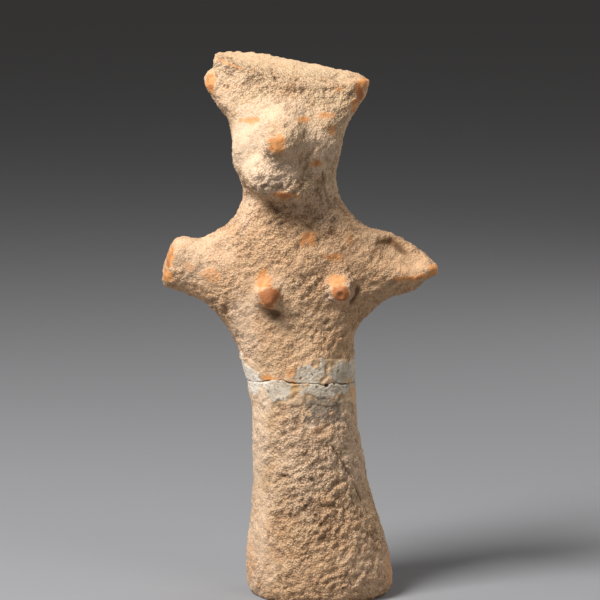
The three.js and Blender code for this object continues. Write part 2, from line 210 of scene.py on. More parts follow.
# Worn places as centre and radii in millimetres, then how bare the orange clay is.
WORN = [
    ((-5.3, -16.8, 105.4), (2.1, 3.0, 2.4), 1.0),
    ((-10.7, -7.8, 110.2), (2.9, 3.0, 0.9), 0.65),
    ((0.8, -9.0, 110.5), (1.7, 2.5, 0.8), 0.75),
    ((6.2, -7.0, 111.2), (2.4, 2.5, 0.7), 0.6),
    ((7.1, -6.4, 107.6), (0.9, 2.5, 1.3), 0.65),
    ((-3.3, -12.3, 93.7), (2.7, 3.0, 0.9), 0.95),
    ((3.7, -8.8, 100.8), (1.6, 2.5, 0.7), 0.8),
    ((-20.2, -1.0, 118.2), (1.3, 3.0, 2.6), 0.85),
    ((15.2, -0.9, 118.2), (1.9, 3.4, 1.8), 1.1),
    ((13.9, -1.8, 115.4), (1.4, 3.0, 2.4), 1.0),
    ((12.4, -3.0, 113.0), (1.0, 3.0, 1.8), 0.9),
    ((9.1, -3.6, 116.9), (1.3, 2.5, 0.6), 0.5),
    ((-8.4, -9.4, 74.2), (1.9, 4.0, 2.4), 0.75),
    ((-6.8, -11.6, 70.6), (2.6, 3.0, 2.8), 1.0),
    ((8.4, -9.4, 74.2), (2.2, 3.5, 2.0), 0.75),
    ((9.1, -11.0, 71.5), (2.1, 2.5, 1.8), 1.0),
    ((1.9, -7.4, 83.5), (2.0, 3.0, 1.6), 0.75),
    ((7.8, -7.2, 79.3), (2.2, 3.0, 0.9), 0.6),
    ((11.2, -5.4, 83.0), (0.9, 2.5, 1.6), 0.45),
    ((-30.2, -2.2, 78.6), (1.6, 4.0, 2.8), 0.95),
    ((-30.2, -2.3, 74.4), (1.4, 3.5, 1.6), 0.8),
    ((-25.2, -3.9, 76.6), (1.2, 2.5, 1.2), 0.40),
    ((-20.0, -4.8, 74.8), (1.9, 2.5, 1.6), 0.50),
    ((30.8, -1.8, 75.6), (1.3, 3.0, 1.2), 0.9),
    ((-7.4, -8.6, 51.4), (2.4, 3.0, 0.8), 1.0),
    ((-0.6, -10.2, 51.0), (1.7, 3.0, 0.6), 1.0),
    ((-1.4, -10.0, 53.0), (2.2, 3.0, 1.4), 0.45),
    ((7.4, -9.0, 47.6), (1.5, 2.5, 0.6), 0.6),
    ((12.4, -4.5, 48.0), (0.9, 3.0, 1.6), 0.6),
    ((5.0, -10.5, 40.0), (3.4, 3.0, 2.6), 0.30),
    ((20.8, -3.0, 6.0), (1.6, 6.0, 3.4), 0.40),
    ((-11.4, -4.0, 9.0), (1.2, 6.0, 5.0), 0.30),
    ((1.0, 12.4, 92.0), (4.0, 3.0, 2.2), 0.6),
    ((-8.0, 12.0, 70.0), (3.4, 3.0, 2.4), 0.5),
    ((8.0, 13.6, 26.0), (3.6, 3.0, 4.2), 0.5),
    ((-2.0, 9.4, 118.0), (4.0, 3.0, 1.6), 0.5),
]

# Dark specks all over the worn clay: their spacing in millimetres, the noise at which one starts
# and is full, and their strength.
SPECK_SPACING = 1.5
SPECK_START = 0.1
SPECK_FULL = 0.5
SPECK_STRENGTH = 0.7

# Darker places within the worn ones, as centre, radii and strength.
GRAZED = [
    ((-6.4, -12.0, 70.6), (2.6, 4.0, 2.8), 1.1),
    ((9.3, -11.5, 71.3), (2.0, 4.0, 1.5), 1.1),
    ((-3.2, -12.0, 93.4), (1.6, 3.0, 0.8), 0.8),
    ((13.6, -2.4, 114.8), (1.2, 3.0, 2.4), 0.9),
    ((-19.9, -1.5, 117.2), (0.6, 2.0, 0.5), 1.0),
    ((-30.6, -2.0, 76.6), (1.0, 4.0, 1.6), 0.9),
    ((3.9, -8.8, 101.0), (0.8, 3.0, 0.5), 0.8),
    ((1.6, -7.4, 84.0), (0.9, 3.0, 0.7), 0.7),
]

# Nicks, scratches and thin ridges as two ends and half the width in millimetres, the height,
# which is less than 0 for a cut, and how bare the orange clay is along it. The clay starts to
# be bare at the first of these shares of the height, is so at the second, and the third is
# how torn its edges are.
RIDGE_BARE_START = 0.3
RIDGE_BARE_FULL = 0.7
RIDGE_TEARING = 0.3
MARKS = [
    ((5.1, -7.7, 98.5), (6.0, -4.0, 92.8), 0.40, -0.26, 0),
    ((6.6, -6.1, 100.0), (7.1, -2.5, 96.0), 0.30, -0.20, 0),
    ((4.1, -7.7, 96.2), (4.6, -5.1, 92.9), 0.30, -0.22, 0),
    ((-5.1, -8.6, 29.5), (-3.4, -9.4, 29.2), 0.35, -0.26, 0),
    ((-3.4, -9.4, 29.2), (-2.2, -10.0, 29.0), 0.35, -0.26, 0),
    ((-5.0, -8.8, 30.3), (-2.2, -10.2, 29.8), 0.40, 0.16, 0),
    ((7.6, -8.9, 35.9), (11.9, -7.2, 28.6), 0.35, -0.30, 0),
    ((11.9, -7.2, 28.6), (14.3, -5.6, 23.0), 0.35, -0.30, 0),
    ((9.9, -8.6, 28.7), (12.4, -6.5, 27.6), 0.50, 0.28, 0),
    ((9.7, -8.7, 35.6), (11.2, -7.6, 35.3), 0.35, -0.35, 0),
    ((-7.0, -8.9, 16.0), (-7.2, -8.9, 14.2), 0.35, -0.20, 0),
    ((11.9, -6.1, 68.6), (13.5, -5.8, 71.8), 0.55, -0.45, 0),
    # The cuts under the left breast are darkened with painted shade, as every cut here is.
    ((-7.8, -9.8, 67.2), (-5.2, -8.6, 66.2), 0.75, -0.80, 0),
    ((-7.2, -9.4, 65.8), (-6.0, -8.6, 65.4), 0.50, -0.50, 0),
    ((-19.3, 0.0, 123.8), (-16.1, -2.0, 122.5), 0.36, 0.15, 1.1),
    ((-16.1, -2.0, 122.5), (-13.0, -2.6, 121.4), 0.28, 0.15, 0.9),
    ((18.3, -2.0, 81.9), (21.1, -0.4, 82.2), 0.80, -0.40, 0),
    ((21.1, -0.4, 82.2), (24.1, -0.4, 79.4), 0.80, -0.40, 0),
    ((17.8, -4.5, 82.9), (19.4, -5.5, 77.4), 1.00, 0.30, 0),
    ((19.4, -5.5, 77.4), (22.1, -4.6, 73.9), 0.90, 0.30, 0),
    ((22.1, -4.6, 73.9), (26.4, -3.6, 74.0), 0.70, 0.10, 0.8),
    ((26.4, -3.6, 74.0), (30.4, -1.6, 74.9), 0.60, 0.10, 0.9),
]

# Places where the mender's plaster is smeared thin over the clay, as centre, radii, strength.
SMEARED = [
    ((5.6, -10.0, 44.7), (4.4, 4.0, 3.8), 1.0),
    ((-3.0, 11.4, 44.6), (4.6, 4.0, 2.2), 0.6),
    ((11.6, 4.4, 55.2), (2.0, 4.0, 2.4), 0.6),
]

# Small holes and shallow dents as centre in millimetres, radius and depth. They're longer from
# front to back, so that one whose centre lies a little off the surface still reaches it.
HOLE_LENGTHENING = 0.8
HOLES = [
    ((8.8, -1.7, 117.8), 0.65, 1.20),
    ((9.2, -10.9, 71.0), 0.90, 0.50),
    ((-5.4, -10.6, 69.8), 0.80, 0.30),
    ((-6.2, 1.7, 120.9), 0.35, 0.35),
    ((-5.4, -1.0, 119.5), 0.50, 0.60),
    ((-6.2, 0.3, 120.2), 0.35, 0.35),
    ((-4.6, -0.9, 119.4), 0.40, 0.40),
    ((-16.1, -3.1, 117.4), 0.45, 0.45),
    ((-16.9, -2.8, 117.6), 0.35, 0.35),
    ((-18.7, -1.6, 119.7), 0.40, 0.40),
    ((-17.3, 2.4, 123.8), 0.55, 0.60),
    ((-16.2, 2.9, 123.8), 0.45, 0.45),
    ((-15.3, 3.3, 123.7), 0.40, 0.40),
    ((-19.5, -4.9, 74.4), 0.30, 0.25),
    ((11.2, -5.3, 84.2), 0.28, 0.25),
    ((26.5, -2.2, 77.4), 3.00, 0.40),
    ((-11.5, -2.5, 90.5), 0.35, 0.30),
    ((-10.1, -3.9, 90.5), 0.35, 0.30),
    ((3.7, -11.6, 20.5), 0.60, 0.55),
    ((1.5, -11.0, 22.7), 0.50, 0.45),
    ((4.9, -11.4, 18.6), 0.50, 0.40),
    ((10.8, -9.4, 21.4), 1.40, 0.25),
    ((8.4, -10.4, 14.8), 0.60, 0.45),
    ((-1.0, -14.0, 10.4), 0.45, 0.35),
]

# How dark the low places are painted, as painted shade with some dirt in it. A hollow in the
# crust starts to darken at this depth in millimetres, is darkest this much deeper, and darkens
# less where worn. A hole is darkest from this share of the way to its middle, and a cut at this
# depth in millimetres.
HOLLOW_START = 0.04
HOLLOW_RANGE = 0.22
HOLLOW_DARKNESS = 0.6
HOLLOW_WEAR = 0.7
PIT_DARKNESS = 0.9
HOLE_DARK_AT = 0.5
CUT_FULL = 0.3

# The share of the sand that the pale places hide.
HIDDEN_WHERE_PALE = 0.25


def points_of(mesh):
    """Every vertex of mesh as an array of millimetre positions."""
    flat = np.empty(len(mesh.vertices) * 3)
    mesh.vertices.foreach_get("co", flat)
    return flat.reshape(-1, 3) / MM


def set_points(mesh, points):
    mesh.vertices.foreach_set("co", (points * MM).ravel())
    mesh.update()


def normals_of(mesh):
    flat = np.empty(len(mesh.vertices) * 3)
    mesh.vertex_normals.foreach_get("vector", flat)
    return flat.reshape(-1, 3)


def smoothstep(low, high, value):
    t = np.clip((value - low) / (high - low), 0, 1)
    return t * t * (3 - 2 * t)


def relax(mesh, passes):
    """Smooths facets away without shrinking the shape: each pass eases in, then out again."""
    points = points_of(mesh)
    pairs = np.empty(len(mesh.edges) * 2, dtype=np.int64)
    mesh.edges.foreach_get("vertices", pairs)
    first, second = pairs.reshape(-1, 2).T
    count = len(points)
    near = np.bincount(first, minlength=count) + np.bincount(second, minlength=count)
    for step in range(passes * 2):
        share = EASE_IN if step % 2 == 0 else EASE_OUT
        for axis in range(3):
            column = points[:, axis]
            total = np.bincount(first, column[second], count)
            total += np.bincount(second, column[first], count)
            points[:, axis] = column + share * (total / near - column)
    set_points(mesh, points)


def noise_at(points, spacing, seed):
    """Smooth noise from about -1 to 1 whose bumps are about spacing millimetres apart."""
    random = np.random.default_rng(seed)
    order = random.permutation(256)
    slopes = random.normal(size=(256, 3))
    slopes /= np.linalg.norm(slopes, axis=1, keepdims=True)
    cell = np.floor(points / spacing).astype(int)
    inside = points / spacing - cell
    ease = inside ** 3 * (inside * (inside * 6 - 15) + 10)
    total = np.zeros(len(points))
    for step in itertools.product((0, 1), repeat=3):
        x, y, z = ((cell + step) & 255).T
        slope = slopes[order[(order[(order[x] + y) & 255] + z) & 255]]
        weight = np.prod(np.where(step, ease, 1 - ease), axis=1)
        total += weight * (slope * (inside - step)).sum(axis=1)
    return 1.7 * total


def noise_layers(points, layers, first_seed):
    """Layers of noise added up, each as its spacing in millimetres and its height."""
    return sum(height * noise_at(points, spacing, seed)
               for seed, (spacing, height) in enumerate(layers, start=first_seed))


def grains_at(points, spacing, seed):
    """Round grains about spacing millimetres apart, up to 0.85 high, with 0 in the gaps."""
    random = np.random.default_rng(seed)
    order = random.permutation(256)
    middles = random.uniform(0.1, 0.9, size=(256, 3))
    radii = random.uniform(0.40, 0.85, size=256)
    cell = np.floor(points / spacing).astype(int)
    inside = points / spacing - cell
    height = np.zeros(len(points))
    for step in itertools.product((-1, 0, 1), repeat=3):
        x, y, z = ((cell + step) & 255).T
        grain = order[(order[(order[x] + y) & 255] + z) & 255]
        away = np.linalg.norm(inside - step - middles[grain], axis=1)
        height = np.maximum(height, radii[grain] - away ** 2 / radii[grain])
    return height


def spread(points, centre, radii):
    """How far each point is from a place, as a share of the place's radii."""
    return np.linalg.norm((points - np.array(centre)) / np.array(radii), axis=1)


def from_line(points, start, end):
    """How far each point is from the line between two places, in millimetres."""
    out = points - np.array(start)
    along = np.array(end) - np.array(start)
    share = np.clip(out @ along / (along @ along), 0, 1)
    return np.linalg.norm(out - share[:, None] * along, axis=1)


def patches(points, places, torn_by):
    """How strongly the places cover each point, where the strongest counts. torn_by moves
    their edges out, or in when less than 0, as a share of their radii."""
    cover = np.zeros(len(points))
    for centre, radii, strength in places:
        reach = 1 - spread(points, centre, radii) + torn_by
        cover = np.maximum(cover, strength * smoothstep(-EDGE_SOFTNESS, EDGE_SOFTNESS, reach))
    return np.clip(cover, 0, 1)


def clay_surface(points):
    """The relief of the clay in millimetres, and the masks that colour it, at each point."""
    coarse = np.full(len(points), USUAL_COARSENESS)
    for centre, radii, change in COARSENESS:
        coarse += change * np.exp(-spread(points, centre, radii) ** 2)
    coarse += noise_layers(points, COARSENESS_CLOUDS, first_seed=3)
    coarse = np.clip(coarse, FINEST, COARSEST)
    ragged = noise_layers(points, TORN_EDGES, first_seed=7)
    worn = patches(points, WORN, ragged)
    smeared = patches(points, SMEARED, SMEAR_TEARING * ragged)

    wander = np.stack([noise_at(points, WANDER_SPACING, seed) for seed in (31, 32, 33)], axis=1)
    turn = np.array([[math.cos(STREAK_ANGLE), 0, math.sin(STREAK_ANGLE)],
                     [0, 1, 0],
                     [-math.sin(STREAK_ANGLE), 0, math.cos(STREAK_ANGLE)]])
    laid = ((points + LUMP_WANDER * wander) @ turn.T) * (STREAK_STRETCH, 1, 1)
    crust = np.zeros(len(points))
    for seed, (spacing, height, steep) in enumerate(LUMPS, start=11):
        crust += height * np.tanh(steep * noise_at(laid, spacing, seed)) / math.tanh(steep)
    for seed, (spacing, height) in enumerate(GRAINS, start=15):
        grains = grains_at(points + GRAIN_WANDER * wander, spacing, seed)
        crust += height * (grains - grains.mean())

    marks = np.zeros(len(points))
    for start, end, half_width, height, bare in MARKS:
        along = np.exp(-(from_line(points, start, end) / half_width) ** 2)
        marks += height * along
        bare_ridge = smoothstep(RIDGE_BARE_START, RIDGE_BARE_FULL, along + RIDGE_TEARING * ragged)
        worn = np.maximum(worn, bare * bare_ridge)
    pits = smoothstep(PIT_START, PIT_FULL, noise_at(points, PIT_SPACING, seed=21)) * (1 - worn)
    relief = crust * coarse * (1 - GONE_WHERE_WORN * worn) * (1 - GONE_WHERE_SMEARED * smeared)
    relief += marks - PIT_DEPTH * pits
    for seed, (spacing, height) in enumerate(SWELLINGS, start=41):
        relief += height * noise_at(points, spacing, seed)
    for centre, radii, out in FULLNESS:
        relief += out * np.exp(-spread(points, centre, radii) ** 2)

    holes = np.zeros(len(points))
    for centre, radius, depth in HOLES:
        away = spread(points, centre, (radius, radius + HOLE_LENGTHENING, radius))
        inside = np.clip(1 - away ** 2, 0, 1)
        relief -= depth * inside
        dark = smoothstep(0, HOLE_DARK_AT, inside) * min(depth / radius, 1)
        holes = np.maximum(holes, dark)
    # The hollows, pits, holes and cuts are darkened with painted shade, with some dirt in it.
    hollow = HOLLOW_DARKNESS * np.clip((-crust * coarse - HOLLOW_START) / HOLLOW_RANGE, 0, 1)
    hollow *= 1 - HOLLOW_WEAR * worn
    cut = np.clip(-marks / CUT_FULL, 0, 1)
    cavity = np.maximum.reduce([hollow, PIT_DARKNESS * pits, holes, cut])
    red = np.interp(points[:, 2], *zip(*REDNESS)) + noise_layers(points, RED_CLOUDS, first_seed=51)
    pale_edges = noise_layers(points, PALE_CLOUDS, first_seed=52) + PALE_TEARING * ragged
    # Pale dust, and painted light on the lit left side and on the face right of the nose.
    pale = patches(points, PALE_DUST_AND_PAINTED_LIGHT, pale_edges)
    specks = smoothstep(SPECK_START, SPECK_FULL, noise_at(points, SPECK_SPACING, seed=53))
    grazed = worn * np.maximum(patches(points, GRAZED, ragged), SPECK_STRENGTH * specks)
    grit = coarse / COARSEST * (1 - GONE_WHERE_WORN * worn) * (1 - HIDDEN_WHERE_PALE * pale)
    fading = noise_layers(points, WEAR_CLOUDS, first_seed=54) * (WEAR_CLOUD_REACH - worn)
    worn = smoothstep(BARE_START, BARE_FULL,
                      worn + fading + HIGH_POINT_WEAR * crust * (1 - worn))
    masks = {"worn": worn, "cavity": cavity, "red": np.clip(red, 0, 1), "pale": pale,
             "grit": grit, "grazed": grazed, "smeared": smeared}
    return relief, masks


def add_masks(mesh, masks):
    for name, values in masks.items():
        layer = mesh.attributes.new(name, "FLOAT", "POINT")
        layer.data.foreach_set("value", np.asarray(values, dtype=np.float32))


def dense_copy(node_name, voxel):
    """A new object with a node's shape, drawn with small even faces, its facets smoothed."""
    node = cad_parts[node_name]
    made = bpy.data.objects.new(node_name + "_surface", node.data.copy())
    made.matrix_world = node.matrix_world
    bpy.context.collection.objects.link(made)
    remesh = made.modifiers.new("remesh", "REMESH")
    remesh.mode = "VOXEL"
    remesh.voxel_size = voxel * MM
    evaluated = made.evaluated_get(bpy.context.evaluated_depsgraph_get())
    mesh = bpy.data.meshes.new_from_object(evaluated)
    made.modifiers.clear()
    made.data = mesh
    mesh.transform(made.matrix_world)
    made.matrix_world.identity()
    relax(mesh, FACET_SMOOTHING_PASSES)
    return made


def keep_in_box(points):
    """The points, with any that relief has pushed past the solids' box moved back to it."""
    low, high = (np.array(corner) / MM for corner in cad_box)
    return np.clip(points, low, high)


def srgb(hex_colour):
    """A hex colour as the linear colour that a shader takes."""
    parts = [int(hex_colour[i:i + 2], 16) / 255 for i in (1, 3, 5)]
    linear = [c / 12.92 if c <= 0.04045 else ((c + 0.055) / 1.055) ** 2.4 for c in parts]
    return (*linear, 1.0)


def add_node(material, kind, settings=None, inputs=None):
    """Adds a shader node. inputs maps a socket to a value, or to (node, output) to link."""
    node = material.node_tree.nodes.new(kind)
    for name, value in (settings or {}).items():
        setattr(node, name, value)
    for socket, value in (inputs or {}).items():
        if isinstance(value, tuple) and isinstance(value[0], bpy.types.Node):
            source, output = value
            material.node_tree.links.new(source.outputs[output], node.inputs[socket])
        else:
            node.inputs[socket].default_value = value
    return node


def per_metre(spacing):
    """The noise scale whose pattern repeats about every spacing millimetres."""
    return 1 / (spacing * MM)


# A mix node's colour sockets, by number because its other kinds have sockets of the same name.
MIX_SHARE = 0
MIX_BELOW = 6
MIX_ABOVE = 7
MIX_RESULT = 2
CLOUD_DETAIL = 4.0


def lay_colours(material, place, colour, layers):
    """Lays colours over a first one. A layer is what decides where it goes, a mask's name or
    the spacing of its clouds in millimetres; the values where it starts and is full; how
    strongly it covers; and its colour."""
    for where, start, full, strength, hex_colour in layers:
        if isinstance(where, str):
            mask = {"attribute_name": where}
            source = (add_node(material, "ShaderNodeAttribute", mask), "Fac")
        else:
            clouds = {"Vector": place, "Scale": per_metre(where), "Detail": CLOUD_DETAIL}
            source = (add_node(material, "ShaderNodeTexNoise", {}, clouds), 0)
        ends = {"Value": source, "From Min": start, "From Max": full, "To Max": strength}
        share = (add_node(material, "ShaderNodeMapRange", {}, ends), "Result")
        mix = {MIX_SHARE: share, MIX_BELOW: colour, MIX_ABOVE: srgb(hex_colour)}
        colour = (add_node(material, "ShaderNodeMix", {"data_type": "RGBA"}, mix), MIX_RESULT)
    return colour


# Low-fired earthenware, left as the fingers pressed it: an open grain with no gloss, which
# handling has rubbed to a dull smoothness only on the worn places.
BUFF_CLAY = "#c6ad8b"
CLAY_LAYERS = [
    (9.0, 0.42, 0.60, 0.5, "#d3b992"),
    ("red", 0.0, 1.0, 0.85, "#cda37b"),
    (3.2, 0.52, 0.68, 0.30, "#c08c63"),
    # Paler where the pale places are: dust, and painted light on the lit left side and right of
    # the nose.
    ("pale", 0.0, 1.0, 0.75, "#dfc3a8"),
    (0.6, 0.54, 0.72, 0.30, "#ead6b8"),
    # Painted shade, with some dirt, in the hollows, pits, holes and cuts.
    ("cavity", 0.0, 1.0, 0.78, "#5e3f26"),
    ("smeared", 0.2, 0.8, 0.85, "#827668"),
    ("worn", 0.0, 1.0, 0.88, "#d38c4a"),
    ("grazed", 0.1, 0.9, 0.70, "#955028"),
]
# Fine sand and the silt between its grains, in millimetres. Real ones are 0.2 to 0.4 mm and
# less than 0.1 mm, so both are drawn coarser to show.
SAND_SPACING = 0.50
SILT_SPACING = 0.30
SILT_ROUGHNESS = 0.6
SAND_HEIGHT = 0.38
# Painted shade in the gaps between the grains: how low they start and are darkest, its share of
# the grit's strength, and its colour.
GAP_START = 0.10
GAP_FULL = -0.35
GAP_SHARE = 0.75
GAP_SHADE_COLOUR = "#764d2a"
# The grit mask's values where the sand is faintest and strongest, and how faint it is.
GRIT_START = 0.05
GRIT_FULL = 0.75
FAINTEST_SAND = 0.15
CRUST_ROUGHNESS = 0.95
WORN_ROUGHNESS = 0.70
CLAY_IOR = 1.5

terracotta = bpy.data.materials.new("low_fired_terracotta")
terracotta.use_nodes = True
terracotta.node_tree.nodes.clear()
clay_place = (add_node(terracotta, "ShaderNodeTexCoord"), "Object")
sand = add_node(terracotta, "ShaderNodeTexVoronoi", {},
                {"Vector": clay_place, "Scale": per_metre(SAND_SPACING)})
silt = add_node(terracotta, "ShaderNodeTexNoise", {},
                {"Vector": clay_place, "Scale": per_metre(SILT_SPACING),
                 "Detail": CLOUD_DETAIL, "Roughness": SILT_ROUGHNESS})
sand_height = add_node(terracotta, "ShaderNodeMath", {"operation": "SUBTRACT"},
                       {0: (silt, 0), 1: (sand, "Distance")})
grit_mask = add_node(terracotta, "ShaderNodeAttribute", {"attribute_name": "grit"})
grit_strength = add_node(terracotta, "ShaderNodeMapRange", {},
                         {"Value": (grit_mask, "Fac"), "From Min": GRIT_START,
                          "From Max": GRIT_FULL, "To Min": FAINTEST_SAND, "To Max": 1.0})
sand_bump = add_node(terracotta, "ShaderNodeBump", {},
                     {"Strength": (grit_strength, "Result"), "Distance": SAND_HEIGHT * MM,
                      "Height": (sand_height, "Value")})
# Painted shade in the gaps between the sand grains, as strong as the grit.
gap_shade_strength = add_node(terracotta, "ShaderNodeMath", {"operation": "MULTIPLY"},
                        {0: (grit_strength, "Result"), 1: GAP_SHARE})
gaps = add_node(terracotta, "ShaderNodeMapRange", {},
                {"Value": (sand_height, "Value"), "From Min": GAP_START,
                 "From Max": GAP_FULL, "To Max": (gap_shade_strength, "Value")})
worn_mask = add_node(terracotta, "ShaderNodeAttribute", {"attribute_name": "worn"})
clay_roughness = add_node(terracotta, "ShaderNodeMapRange", {},
                          {"Value": (worn_mask, "Fac"), "To Min": CRUST_ROUGHNESS,
                           "To Max": WORN_ROUGHNESS})
clay_colour = lay_colours(terracotta, clay_place, srgb(BUFF_CLAY), CLAY_LAYERS)
clay_with_gap_shade = add_node(terracotta, "ShaderNodeMix", {"data_type": "RGBA"},
                          {MIX_SHARE: (gaps, "Result"), MIX_BELOW: clay_colour,
                           MIX_ABOVE: srgb(GAP_SHADE_COLOUR)})
clay_shader = add_node(terracotta, "ShaderNodeBsdfPrincipled", {},
                       {"Base Color": (clay_with_gap_shade, MIX_RESULT),
                        "Roughness": (clay_roughness, "Result"), "IOR": CLAY_IOR,
                        "Normal": (sand_bump, "Normal")})
add_node(terracotta, "ShaderNodeOutputMaterial", {}, {"Surface": (clay_shader, "BSDF")})

smooth_clay = {}
for node_name, voxel in CLAY_VOXEL.items():
    piece = dense_copy(node_name, voxel)
    bpy.context.view_layer.update()
    smooth_clay[node_name] = BVHTree.FromObject(piece, bpy.context.evaluated_depsgraph_get())
    clay_points = points_of(piece.data)
    clay_relief, clay_masks = clay_surface(clay_points)
    raised = clay_points + normals_of(piece.data) * clay_relief[:, None]
    set_points(piece.data, keep_in_box(raised))
    add_masks(piece.data, clay_masks)
    piece.data.materials.clear()
    piece.data.materials.append(terracotta)
    piece.data.polygons.foreach_set("use_smooth", [True] * len(piece.data.polygons))
    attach(piece, "root")
    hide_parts(node_name)


# The plaster that fills the worn edges of the break at the waist, spread with a finger and
# left. It reaches past the joint as thin patches with torn edges, the clay's own broken edge
# shows between them, and a hairline crack has opened again where the fragments meet.

# The band it's drawn on, in millimetres: how far it reaches below and above the crack, the
# rows' heights, which grow away from the crack, and how far out the lines that find the clay
# start. Its hidden side lies this deep, in this many rows.
WAIST_COLUMNS = 330
WAIST_REACH_DOWN = 8.0
WAIST_REACH_UP = 7.0
FINEST_ROW = 0.10
COARSEST_ROW = 0.26
ROW_GROWTH = 0.02
MOST_ROWS = 80
CAST_RADIUS = 30.0
INNER_ROWS = 5
INNER_DEPTH = 1.5

# Passes that close narrow gaps in the found surface and smooth it, and that widen the part
# that's shown and soften its edge.
GAP_CLOSING_PASSES = 2
WAIST_SMOOTHING_PASSES = 24
MARGIN_WIDENING_PASSES = 6
MARGIN_SOFTENING_PASSES = 10

# How far the band and the plaster on it stand out from the clay in millimetres, how far the
# rest of the band dives below it, and how near the fill or how covered with plaster it is
# where it comes out and is fully out.
SKIN_LIFT = 0.02
PLASTER_LIFT = 0.12
DIVE = 0.6
OUT_START = 0.1
OUT_FULL = 0.6

# The plaster's bumps and torn edges as spacing in millimetres and height, how wide the edges
# of a patch are, and how near the crack, in millimetres, a patch on one side stops and is whole.
PLASTER_BUMPS = [(2.4, 0.10), (0.7, 0.08)]
PLASTER_TEARS = [(2.2, 0.32), (0.9, 0.18)]
PATCH_EDGE = 0.24
PATCH_STOPS = -0.05
PATCH_WHOLE = 0.12

# Pores of trapped air: spacing and depth in millimetres, the noise at which one starts and is
# full, and how dark its painted shade is.
PORE_SPACING = 0.8
PORE_DEPTH = 0.15
PORE_START = 0.55
PORE_FULL = 0.75
PORE_DARKNESS = 0.7

# The crack: its depth and half its width in millimetres, its fine wavering as it goes round a
# circle of the waist's size, and how far open it is, usually and at least, with the spacing and
# height of its changes. These are stretched upwards, so that they come along the crack.
CRACK_DEPTH = 0.6
CRACK_HALF_WIDTH = 0.13
CRACK_WAVERING = [(1.0, 0.16)]
WAIST_RADIUS = 12.0
USUAL_OPENING = 0.65
LEAST_OPENING = 0.15
OPENING_CHANGES = (3.0, 0.8)
OPENING_STRETCH = (1, 1, 0.2)

# The crack's height in millimetres at each direction in degrees, 0 being the front.
CRACK = [(-180, 50.0), (-140, 50.6), (-100, 49.8), (-72, 50.0), (-55, 50.2), (-44, 50.6),
         (-33, 51.4), (-24, 51.7), (-13, 50.8), (-2, 50.6), (10, 50.7), (21, 50.4), (30, 50.0),
         (38, 50.6), (47, 50.1), (65, 49.7), (95, 50.1), (130, 49.7), (160, 50.4), (180, 50.0)]

# The plaster patches: direction and height of the middle, half the width in degrees and half
# the height in millimetres, and the side of the crack they keep to, or 0 for both.
PLASTER_PATCHES = [
    (11, 52.2, 19, 3.2, 1),
    (28, 54.8, 3.5, 2.2, 1),
    (52, 52.6, 18, 2.9, 1),
    (77, 52.6, 14, 4.0, 0),
    (-82, 51.5, 15, 6.0, 0),
    (-63, 50.4, 15, 3.6, 0),
    (-27, 49.3, 20, 3.0, -1),
    (34, 49.2, 36, 2.2, -1),
    (118, 51.4, 24, 2.8, 0),
    (150, 48.6, 20, 2.2, -1),
    (176, 51.6, 26, 3.0, 1),
    (-140, 50.4, 24, 3.4, 0),
    (-108, 51.2, 16, 2.0, 0),
]

# A crumbled pit in the crack and an ochre stain below it, as direction, height, half the width
# in degrees and half the height, how torn the pit is, and how far in the pit's painted shade
# starts and both are darkest.
CRACK_PIT = (31, 50.1, 3.2, 0.55)
PIT_TEARING = 0.4
CRUMBLED_START = 0.05
CRUMBLED_FULL = 0.4
STAIN = (-6, 49.0, 5, 2.4)
STAIN_FULL = 0.5

waist_low, waist_high = (Vector(corner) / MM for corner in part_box("plaster_fill"))
waist_middle = (waist_low + waist_high) / 2
turns = np.arange(WAIST_COLUMNS) * 2 * math.pi / WAIST_COLUMNS
turns_in_degrees = (np.degrees(turns) + 180) % 360 - 180
outward = np.stack([np.sin(turns), -np.cos(turns), np.zeros(WAIST_COLUMNS)], axis=1)
row_steps = np.minimum(FINEST_ROW + ROW_GROWTH * np.arange(MOST_ROWS), COARSEST_ROW)
row_reach = np.cumsum(row_steps)
row_heights = np.concatenate([-row_reach[row_reach < WAIST_REACH_DOWN][::-1], [0],
                              row_reach[row_reach < WAIST_REACH_UP]])
crack_at = np.interp(turns_in_degrees, *zip(*CRACK))
crack_at += noise_layers(outward * WAIST_RADIUS, CRACK_WAVERING, first_seed=61)
heights = crack_at[None, :] + row_heights[:, None]
grid_shape = heights.shape

# Where a level line towards the waist's axis meets the clay or the fill, and which it meets.
trees = dict(smooth_clay)
fill_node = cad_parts["plaster_fill"]
trees["plaster_fill"] = BVHTree.FromObject(fill_node, bpy.context.evaluated_depsgraph_get())
radius = np.zeros(grid_shape)
on_ring = np.zeros(grid_shape)
for row, column in itertools.product(range(grid_shape[0]), range(grid_shape[1])):
    direction = Vector(outward[column])
    axis_point = Vector((waist_middle.x, waist_middle.y, heights[row, column]))
    start = axis_point + direction * CAST_RADIUS
    for name, tree in trees.items():
        distance = tree.ray_cast(start * MM, -direction)[3]
        if distance is not None and CAST_RADIUS - distance / MM > radius[row, column]:
            radius[row, column] = CAST_RADIUS - distance / MM
            on_ring[row, column] = name == "plaster_fill"


def blurred(grid, passes):
    """The grid's values eased into their neighbours', round the waist and up and down it."""
    for _ in range(passes):
        grid = (np.roll(grid, 1, axis=1) + 2 * grid + np.roll(grid, -1, axis=1)) / 4
        padded = np.pad(grid, ((1, 1), (0, 0)), mode="edge")
        grid = (padded[:-2] + 2 * grid + padded[2:]) / 4
    return grid


def widest(grid, passes):
    """Each value raised to the highest of its neighbours', which closes the narrow gaps."""
    for _ in range(passes):
        padded = np.pad(grid, ((1, 1), (0, 0)), mode="edge")
        sides = [np.roll(grid, 1, axis=1), np.roll(grid, -1, axis=1), padded[:-2], padded[2:]]
        grid = np.maximum.reduce([grid, *sides])
    return grid


